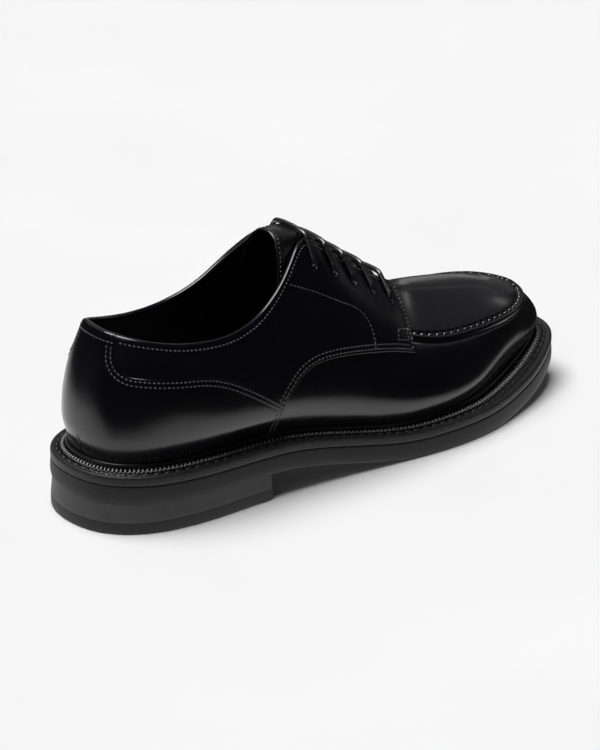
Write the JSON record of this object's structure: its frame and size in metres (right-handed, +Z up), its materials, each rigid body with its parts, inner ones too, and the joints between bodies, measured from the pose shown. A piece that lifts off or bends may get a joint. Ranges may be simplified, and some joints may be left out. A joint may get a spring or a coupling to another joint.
{
  "type": "lace-up shoe",
  "caption": "Low lace-up shoe with a raised apron toe, open lacing over a tongue, laid-on quarters and counter, ribbed welt and low stacked heel; a foot goes in at the collar.",
  "frame": {"origin": "middle of the overall box at the floor, below the waist of the sole", "axes": "+Y towards the toe, +X towards the outer (lateral) side of this right shoe, +Z up"},
  "size_m": [0.1044, 0.304, 0.1211],
  "materials": {
    "polished_leather": "polished black",
    "overlay_leather": "polished black",
    "tongue_leather": "satin black",
    "insole_leather": "matte",
    "welt_leather": "satin black",
    "sole_rubber": "matte",
    "heel_stack": "matte",
    "waxed_lace": "waxed"
  },
  "bodies": {
    "root": {"upper": "polished_leather", "quarter_lateral": "overlay_leather", "quarter_medial": "overlay_leather", "counter": "overlay_leather", "tongue": "tongue_leather", "insole": "insole_leather", "welt": "welt_leather", "outsole": "sole_rubber", "heel_block": "heel_stack", "heel_lift": "sole_rubber", "lace_bar_1": "waxed_lace", "lace_bar_2": "waxed_lace", "lace_bar_3": "waxed_lace", "lace_bar_4": "waxed_lace", "lace_bar_5": "waxed_lace"}
  },
  "joints": []
}
